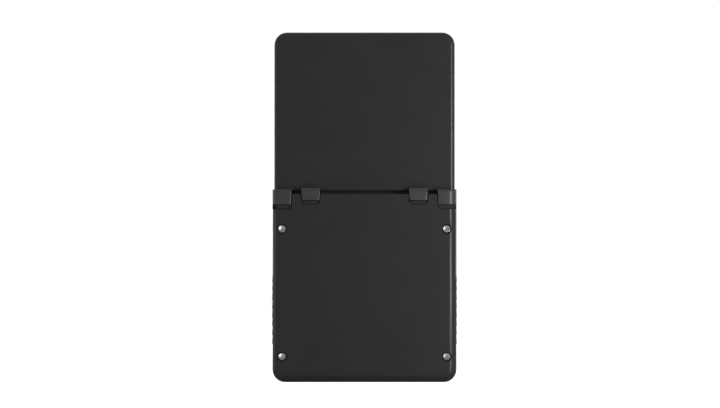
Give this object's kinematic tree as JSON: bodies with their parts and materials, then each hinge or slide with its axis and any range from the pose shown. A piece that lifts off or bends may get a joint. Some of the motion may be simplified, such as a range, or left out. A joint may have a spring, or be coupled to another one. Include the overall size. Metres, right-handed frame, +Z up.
{
  "type": "clamshell handheld game console",
  "caption": "Clamshell handheld game console in dark matte plastic, opened flat, with a screen in the lid, direction pad, buttons, shoulder buttons and gripped sides.",
  "frame": {"origin": "centre of the bounding box in x and y, on the flat bottom edge of the base, on which the opened console stands", "axes": "+Z up from the base's bottom edge to the lid, +Y out of the back covers, -Y out of the screen and the controls, +X to the player's right hand"},
  "size_m": [0.0856, 0.021, 0.1614],
  "materials": {
    "shell": "fine matte moulded texture",
    "button": "satin moulded",
    "screen_glass": "polished, printed black behind",
    "display_panel": "satin",
    "rubber": "matte",
    "silicone": "matte",
    "screw_metal": "bright nickel plated",
    "steel": "plain",
    "board": "solder mask",
    "battery_wrap": "film wrap",
    "ribbon_film": "film",
    "light_guide": "frosted"
  },
  "bodies": {
    "base": {"rear_cover": "shell", "front_cover": "shell", "main_board": "board", "shield_can": "steel", "battery": "battery_wrap", "speaker": "rubber", "status_light_guide": "light_guide", "usb_socket": "steel", "video_socket": "steel", "headphone_socket": "rubber", "card_slot_1": "steel", "card_slot_2": "steel", "rear_screw_1": "screw_metal", "rear_screw_2": "screw_metal", "rear_screw_3": "screw_metal", "rear_screw_4": "screw_metal", "bumper_left": "rubber", "bumper_right": "rubber", "hinge_shaft": "steel", "hinge_bush": "steel", "ribbon_base": "ribbon_film", "dpad_mat": "silicone", "face_button_mat": "silicone", "start_select_mat": "silicone", "menu_mat": "silicone", "volume_switch": "steel", "power_switch": "steel", "reset_switch": "steel", "shoulder_switch_left": "board", "shoulder_switch_right": "board"},
    "lid": {"lid_rear_cover": "shell", "lid_bezel": "shell", "screen_glass": "screen_glass", "display_panel": "display_panel", "lid_magnet": "steel", "lid_screw_left": "screw_metal", "lid_screw_right": "screw_metal", "ribbon_lid": "ribbon_film", "hinge_cartridge": "steel"},
    "dpad_pivot": {"dpad_pivot": "steel"},
    "dpad": {"dpad": "button"},
    "button_a": {"button_a": "button"},
    "button_b": {"button_b": "button"},
    "button_x": {"button_x": "button"},
    "button_y": {"button_y": "button"},
    "menu_button": {"menu_button": "button"},
    "start_button": {"start_button": "button"},
    "select_button": {"select_button": "button"},
    "volume_rocker": {"volume_rocker": "button"},
    "power_button": {"power_button": "button"},
    "reset_button": {"reset_button": "button"},
    "shoulder_outer_left": {"shoulder_outer_left": "button"},
    "shoulder_outer_right": {"shoulder_outer_right": "button"},
    "shoulder_inner_left": {"shoulder_inner_left": "button"},
    "shoulder_inner_right": {"shoulder_inner_right": "button"}
  },
  "joints": [
    {"name": "lid_hinge", "type": "hinge", "parent": "base", "child": "lid", "pos_m": [0, -0.00532, 0.0807], "axis": [1, 0, 0], "range_deg": [0, 180]},
    {"name": "dpad_left_right", "type": "hinge", "parent": "base", "child": "dpad_pivot", "pos_m": [-0.024, -0.00137, 0.05], "axis": [0, 0, 1], "range_deg": [-2.8, 2.8], "stiffness_Nm_per_rad": 0.08},
    {"name": "dpad_up_down", "type": "hinge", "parent": "dpad_pivot", "child": "dpad", "pos_m": [-0.024, -0.00137, 0.05], "axis": [1, 0, 0], "range_deg": [-2.8, 2.8], "stiffness_Nm_per_rad": 0.08},
    {"name": "button_a_press", "type": "slide", "parent": "base", "child": "button_a", "axis": [0, 1, 0], "range_m": [0, 0.0007], "stiffness_N_per_m": 800},
    {"name": "button_b_press", "type": "slide", "parent": "base", "child": "button_b", "axis": [0, 1, 0], "range_m": [0, 0.0007], "stiffness_N_per_m": 800},
    {"name": "button_x_press", "type": "slide", "parent": "base", "child": "button_x", "axis": [0, 1, 0], "range_m": [0, 0.0007], "stiffness_N_per_m": 800},
    {"name": "button_y_press", "type": "slide", "parent": "base", "child": "button_y", "axis": [0, 1, 0], "range_m": [0, 0.0007], "stiffness_N_per_m": 800},
    {"name": "menu_press", "type": "slide", "parent": "base", "child": "menu_button", "axis": [0, 1, 0], "range_m": [0, 0.0007], "stiffness_N_per_m": 800},
    {"name": "start_press", "type": "slide", "parent": "base", "child": "start_button", "axis": [0, 1, 0], "range_m": [0, 0.0007], "stiffness_N_per_m": 800},
    {"name": "select_press", "type": "slide", "parent": "base", "child": "select_button", "axis": [0, 1, 0], "range_m": [0, 0.0007], "stiffness_N_per_m": 800},
    {"name": "volume_rock", "type": "hinge", "parent": "base", "child": "volume_rocker", "pos_m": [-0.0393, 0.00432, 0.059], "axis": [0, 1, 0], "range_deg": [-2.5, 2.5], "stiffness_Nm_per_rad": 0.06},
    {"name": "power_press", "type": "slide", "parent": "base", "child": "power_button", "axis": [-1, 0, 0], "range_m": [0, 0.0004], "stiffness_N_per_m": 900},
    {"name": "reset_press", "type": "slide", "parent": "base", "child": "reset_button", "axis": [-1, 0, 0], "range_m": [0, 0.0004], "stiffness_N_per_m": 900},
    {"name": "shoulder_outer_left_press", "type": "slide", "parent": "base", "child": "shoulder_outer_left", "axis": [0, 0, -1], "range_m": [0, 0.0012], "stiffness_N_per_m": 700},
    {"name": "shoulder_outer_right_press", "type": "slide", "parent": "base", "child": "shoulder_outer_right", "axis": [0, 0, -1], "range_m": [0, 0.0012], "stiffness_N_per_m": 700},
    {"name": "shoulder_inner_left_press", "type": "slide", "parent": "base", "child": "shoulder_inner_left", "axis": [0, 0, -1], "range_m": [0, 0.0012], "stiffness_N_per_m": 700},
    {"name": "shoulder_inner_right_press", "type": "slide", "parent": "base", "child": "shoulder_inner_right", "axis": [0, 0, -1], "range_m": [0, 0.0012], "stiffness_N_per_m": 700}
  ]
}
